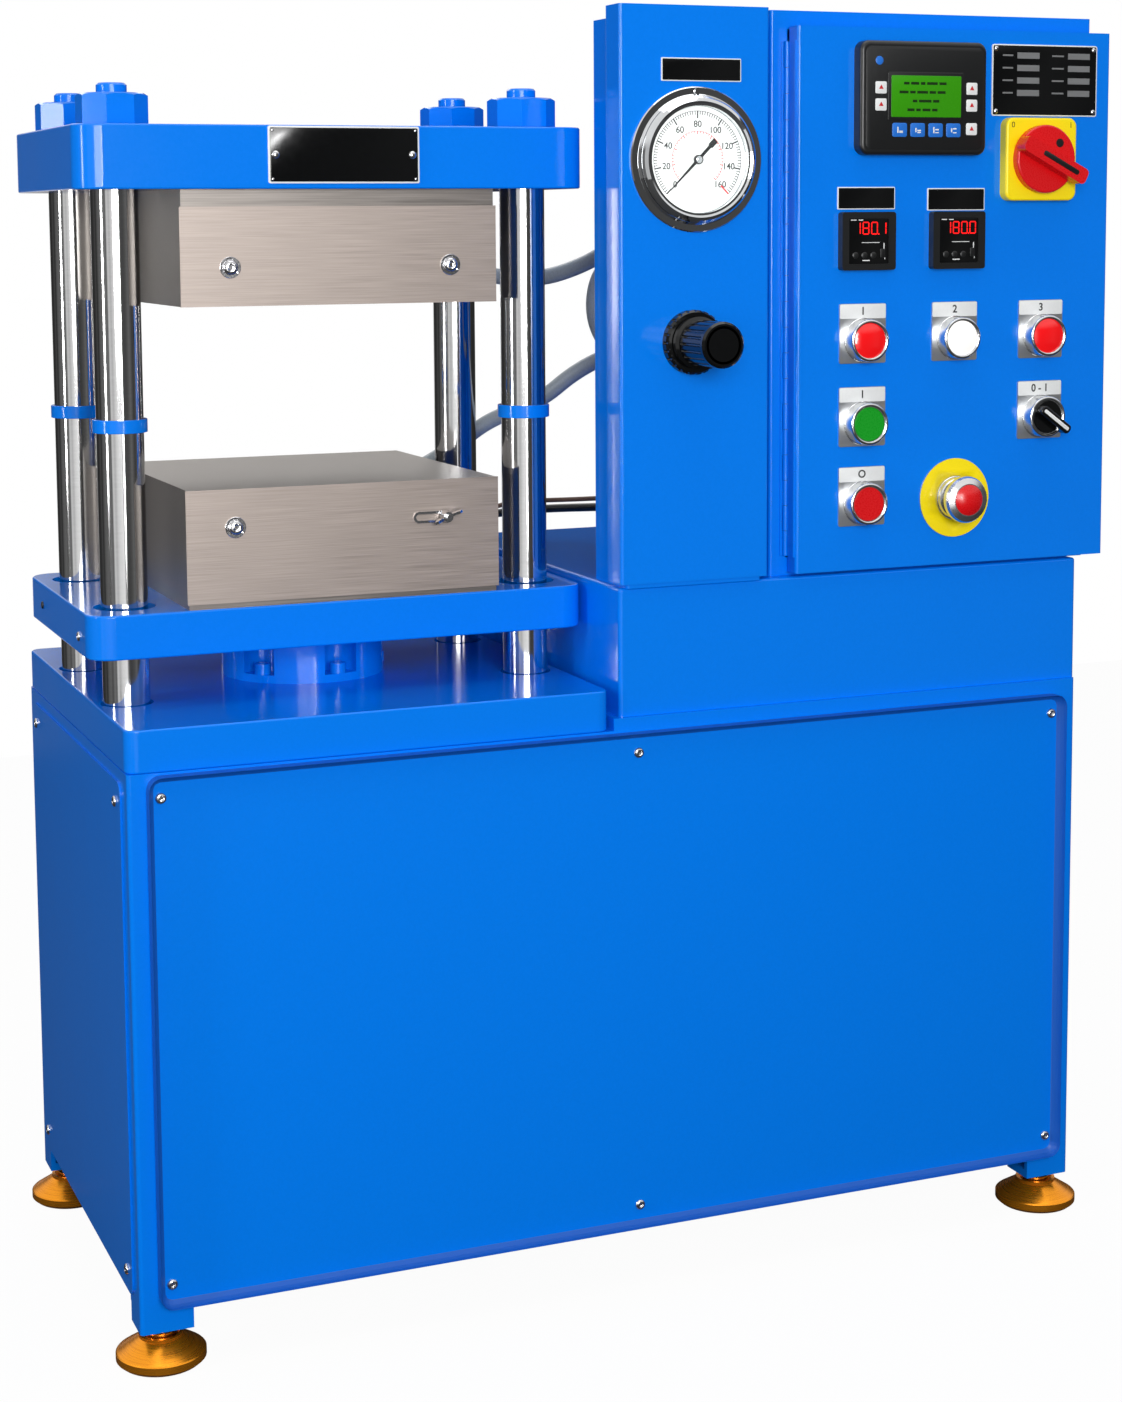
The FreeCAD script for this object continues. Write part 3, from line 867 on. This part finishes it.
def door_devices():
    """Displays, controllers, lamps, buttons and switches on the door."""
    y = DOOR_FRONT_Y
    plate_y = y - LEGEND_T
    nodes = {"device_bezels": group([bezel_block(x, z, kind) for x, z, kind in device_axes()]),
             "legend_plates": group([legend_plate(x, z, kind) for x, z, kind in device_axes()])}
    face = round_front(block(HMI_X, y - HMI_T / 2, HMI_Z, HMI_W, HMI_T, HMI_H), HMI_CORNER_R)
    face = soft_front(face, HMI_EDGE_R)
    case = block(HMI_X, y + HMI_CASE_D / 2, HMI_Z, HMI_CASE_W, HMI_CASE_D, HMI_CASE_H)
    nodes["hmi_panel"] = fuse([face, case])
    controllers = []
    window_y = y - CTRL_T + CTRL_WINDOW_SET / 2
    for x in CTRL_X:
        bezel = round_front(block(x, y - CTRL_T / 2, CTRL_Z, CTRL_W, CTRL_T, CTRL_H), DOOR_EDGE_R)
        bezel = bezel.cut(block(x, window_y, CTRL_Z, CTRL_CASE, CTRL_WINDOW_SET, CTRL_CASE))
        case = block(x, y + CTRL_CASE_D / 2, CTRL_Z, CTRL_CASE, CTRL_CASE_D, CTRL_CASE)
        controllers.append(fuse([bezel, case]))
    nodes["temperature_controllers"] = group(controllers)
    lenses = []
    for x, z, kind in device_axes():
        at = (x, plate_y, z)
        if kind == "lamp":
            lenses.append(pilot_lens(at))
        elif kind == "selector":
            nodes["selector_knob"] = selector(at)
        else:
            nodes[kind + "_button"] = mushroom(at) if kind == "estop" else plunger(at)
    nodes["pilot_lenses"] = group(lenses)
    nodes.update(main_switch())
    return nodes


def pilot_lens(at):
    """The lens of a pilot lamp: seated in its ring, with a low dome in front of it."""
    return domed(at, LENS_R, BEZEL_T - LENS_SET, BEZEL_T - 0.5, LENS_DOME)


def plunger(at):
    """The flush button of a push-button: a stem and a flat cap with a broken edge."""
    return turned([(0, -PLUNGER_BACK), (PLUNGER_STEM_R, -PLUNGER_BACK), (PLUNGER_STEM_R, PLUNGER_CAP_BACK),
                   (PLUNGER_R, PLUNGER_CAP_BACK), (PLUNGER_R, PLUNGER_FRONT - 1),
                   (PLUNGER_R - 1, PLUNGER_FRONT), (0, PLUNGER_FRONT)], at)


def mushroom(at):
    """The emergency-stop button: a wide flared head around a raised cap."""
    rim = ESTOP_FACE - ESTOP_H
    head = turned([(0, -PLUNGER_BACK), (ESTOP_NECK_R, -PLUNGER_BACK), (ESTOP_NECK_R, rim),
                   (ESTOP_R - 3, rim), (ESTOP_R, rim + 3), (ESTOP_R, ESTOP_FACE - 5),
                   (ESTOP_R - 1.5, ESTOP_FACE - 2), (ESTOP_CAP_R + 1, ESTOP_FACE), (0, ESTOP_FACE)], at)
    return fuse([head, domed(at, ESTOP_CAP_R, ESTOP_FACE - 1, ESTOP_FACE, ESTOP_CAP_DOME)])


def domed(at, radius, back, edge, rise):
    """A round disc from back to edge, with a spherical dome of the given rise in front of it."""
    x, y, z = at
    disc = rod(radius, (x, y - back, z), edge - back, FRONT)
    sphere_r = (radius ** 2 + rise ** 2) / (2 * rise)
    sphere = Part.makeSphere(sphere_r, V(x, y - edge - rise + sphere_r, z))
    return fuse([disc, rod(radius, (x, y - edge, z), rise + 1, FRONT).common(sphere)])


def round_front(shape, radius):
    """A panel bezel with the corners of its outline rounded."""
    return shape.makeFillet(radius, [e for e in shape.Edges if is_line_along(e, Y_AXIS)])


def soft_front(shape, radius):
    """A panel bezel with the whole edge of its front face rounded."""
    front_y = shape.BoundBox.YMin
    return shape.makeFillet(radius, [e for e in shape.Edges if e.BoundBox.YMax < front_y + SOFT_GAP])


def selector(at):
    """The black selector: a round foot and a raised grip bar at its resting angle."""
    x, y, z = at
    top = BEZEL_T + 1
    foot = turned([(0, -PLUNGER_BACK), (PLUNGER_STEM_R, -PLUNGER_BACK), (PLUNGER_STEM_R, PLUNGER_CAP_BACK),
                   (PLUNGER_R, PLUNGER_CAP_BACK), (PLUNGER_R, top - 1), (PLUNGER_R - 1, top), (0, top)], at)
    bar = block((SELECTOR_FORE - SELECTOR_AFT) / 2, 0, 0, SELECTOR_FORE + SELECTOR_AFT, SELECTOR_BAR_H,
                SELECTOR_BAR_W)
    bar = soft_front(round_front(bar, SELECTOR_BAR_W * 0.4), 1.5)
    bar.rotate(V(0, 0, 0), Y_AXIS, -SELECTOR_REST_DEG)
    bar.translate(V(x, y - top - SELECTOR_BAR_H / 2 + 0.5, z))
    return fuse([foot, bar])


def main_switch():
    """The main disconnect: plate with its switch body, and the handle at its resting angle."""
    y = DOOR_FRONT_Y
    plate = block(SWITCH_X, y - SWITCH_PLATE_T / 2, SWITCH_Z, SWITCH_PLATE, SWITCH_PLATE_T, SWITCH_PLATE)
    plate = soft_front(round_front(plate, SWITCH_CORNER_R), SWITCH_EDGE_R)
    body = block(SWITCH_X, y + SWITCH_BODY_D / 2, SWITCH_Z, SWITCH_BODY, SWITCH_BODY_D, SWITCH_BODY)
    shaft_hole = rod(SWITCH_SHAFT_R + RUNNING_FIT, (SWITCH_X, y - SWITCH_PLATE_T - 1, SWITCH_Z),
                     SWITCH_PLATE_T + SWITCH_BODY_D / 2, Y_AXIS)
    front = y - SWITCH_PLATE_T - SOFT_GAP
    disc = rod(HANDLE_R, (SWITCH_X, front, SWITCH_Z), HANDLE_T, FRONT)
    disc = disc.makeFillet(PLATE_EDGE_R, [e for e in disc.Edges
                                          if is_circle(e) and e.BoundBox.YMax < front - HANDLE_T / 2])
    bar_l = HANDLE_FORE + HANDLE_AFT
    bar = block((HANDLE_FORE - HANDLE_AFT) / 2, 0, 0, bar_l, HANDLE_BAR_H, HANDLE_BAR_W)
    bar = round_front(bar, HANDLE_BAR_W * 0.3)
    bar.rotate(V(0, 0, 0), Y_AXIS, -HANDLE_REST_DEG)
    bar.translate(V(SWITCH_X, front - HANDLE_T - HANDLE_BAR_H / 2 + 1, SWITCH_Z))
    shaft = rod(SWITCH_SHAFT_R, (SWITCH_X, front, SWITCH_Z), SWITCH_PLATE_T + SWITCH_BODY_D / 2 - 2, Y_AXIS)
    return {"switch_plate": fuse([plate, body]).cut(shaft_hole), "switch_handle": fuse([disc, bar, shaft])}


# ---- cords -------------------------------------------------------------------------------
def tube(points, radius, fixed_radius=None):
    """A round cord: straight runs joined by tangent arcs as large as the runs allow."""
    edges, radii, length = [], [], 0.0
    at = points[0]
    for i in range(1, len(points) - 1):
        before, here, after = points[i - 1], points[i], points[i + 1]
        back, ahead = (before - here), (after - here)
        shorter = min(back.Length, ahead.Length)
        turn = math.pi - back.getAngle(ahead)
        set_back = fixed_radius * math.tan(turn / 2) if fixed_radius else 0.45 * shorter
        radii.append((set_back / math.tan(turn / 2), math.degrees(turn)))
        back.normalize()
        ahead.normalize()
        first, last = here + back * set_back, here + ahead * set_back
        bisector = (back + ahead).normalize()
        bend_r = radii[-1][0]
        centre = here + bisector * (bend_r / math.cos(turn / 2))
        middle = centre - bisector * bend_r
        edges += [Part.LineSegment(at, first).toShape(), Part.Arc(first, middle, last).toShape()]
        length += (first - at).Length + bend_r * turn
        at = last
    edges.append(Part.LineSegment(at, points[-1]).toShape())
    length += (points[-1] - at).Length
    wire = Part.Wire(edges)
    start_dir = (points[1] - points[0]).normalize()
    section = Part.Wire([Part.makeCircle(radius, points[0], start_dir)])
    solid = wire.makePipeShell([section], True, False)
    volume_share = solid.Volume / (math.pi * radius ** 2 * length)
    return solid, radii, length, volume_share


def cord_routes():
    """The radius and the route of each free cord, from its first gland to the cabinet wall."""
    platen_x = PRESS_X + PLATEN_W / 2 + GLAND_L
    wall_x, cable_wall_x = ELEC_X0 - GLAND_L, ELEC_X0 - CABLE_GLAND_L
    bed_z = BED_Z1 + CABLE_GLAND_L
    return {
        "upper_conduit": (CONDUIT_R, [
            V(platen_x, EXIT_Y, UPPER_EXIT_Z), V(452, 373, 1003), V(498, 366, 990), V(538, 334, 988),
            V(566, 292, 1002), V(581, 246, 1020), V(597, 208, 1036), V(wall_x, *UPPER_IN)]),
        "lower_conduit": (CONDUIT_R, [
            V(platen_x, EXIT_Y, LOWER_EXIT_Z), V(448, 374, 804), V(487, 363, 836), V(530, 325, 855),
            V(562, 289, 893), V(601, 250, 916), V(635, 228, 961), V(620, 206, 1009), V(576, 183, 1025),
            V(533, 168, 999), V(523, 160, 951), V(545, 154, 913), V(588, *LOWER_IN), V(wall_x, *LOWER_IN)]),
        "heater_cable": (CABLE_R, [
            V(*CABLE_DOWN, bed_z), V(445, 416, 656), V(455, 414, 697), V(485, 403, 724), V(520, 372, 733),
            V(556, 333, 738), V(586, 290, 742), V(609, 242, 748), V(cable_wall_x, *CABLE_IN)]),
        "sensor_cable": (SIGNAL_R, [
            V(*SIGNAL_DOWN, bed_z), V(463, 430, 660), V(474, 427, 704), V(503, 413, 733), V(536, 380, 742),
            V(569, 338, 746), V(596, 286, 752), V(614, 226, 762), V(cable_wall_x, *SIGNAL_IN)]),
    }


def gland(point, axis, cord_r, length):
    """A cable gland: wide body and tapered cap, a little tighter inside than its cord."""
    radius, bore_r = cord_r + GLAND_WALL, cord_r - 1
    cap_r = cord_r + CAP_WALL
    return turned([(bore_r, 0), (radius, 0), (radius, length * 0.4), (cap_r, length * 0.45),
                   (cap_r, length * 0.8), (cord_r + 1, length), (bore_r, length)], point, axis)


def cords_and_glands():
    """Free cords as plain tubes, and the glands that hold both ends of each."""
    nodes = {}
    fixed, moving = [], []
    for name, (radius, points) in cord_routes().items():
        solid, radii, length, share = tube(points, radius)
        nodes[name] = solid
        print(name, "length %.1f" % length, "volume share %.4f" % share,
              "radii", " ".join("%.0f(%.0f deg)" % pair for pair in radii))
        start, end = points[0], points[-1]
        if radius == CONDUIT_R:
            side = moving if name == "lower_conduit" else fixed
            side.append(gland(start - X_AXIS * GLAND_L, X_AXIS, radius, GLAND_L))
        else:
            fixed.append(gland(start - Z_AXIS * CABLE_GLAND_L, Z_AXIS, radius, CABLE_GLAND_L))
        fixed.append(gland(V(ELEC_X0, end.y, end.z), X_AXIS * -1, radius, ELEC_X0 - end.x))
    nodes["conduit_glands"] = group(fixed)
    nodes["platen_glands"] = group(moving)
    return nodes


# ---- the whole machine -------------------------------------------------------------------
def machine():
    """Every node of the press by name, standing in its building frame."""
    nodes = {"base_frame": base_frame(), "bed_plate": bed_plate(), "tie_rods": tie_rods(),
             "crown_plate": crown_plate(), "tie_rod_nuts": tie_rod_nuts(),
             "stop_collars": stop_collars(), "moving_bolster": moving_bolster(),
             "guide_bushes": guide_bushes(), "pedestal_box": pedestal_box(),
             "electrical_body": electrical_body(), "control_gear": control_gear(),
             "electrical_door": electrical_door()}
    for part in (base_panels, feet, cylinder, upper_set, lower_set, power_unit, gauge, regulator,
                 pneumatic_cabinet, hinge, door_devices, cords_and_glands):
        nodes.update(part())
    return nodes


def origin_of(nodes):
    """The middle of the footprint of the whole machine."""
    whole = FreeCAD.BoundBox()
    for shape in nodes.values():
        whole.add(shape.optimalBoundingBox(False, False))
    return V((whole.XMin + whole.XMax) / 2, (whole.YMin + whole.YMax) / 2, 0), whole


NODES = machine()
ORIGIN, WHOLE = origin_of(NODES)
os.makedirs("parts", exist_ok=True)
for node_name, node_shape in NODES.items():
    node_shape.translate(ORIGIN * -1)
    node_shape.exportStep("parts/%s.step" % node_name)
print("nodes", len(NODES), "origin", ORIGIN, "size", WHOLE.XLength, WHOLE.YLength, WHOLE.ZLength)
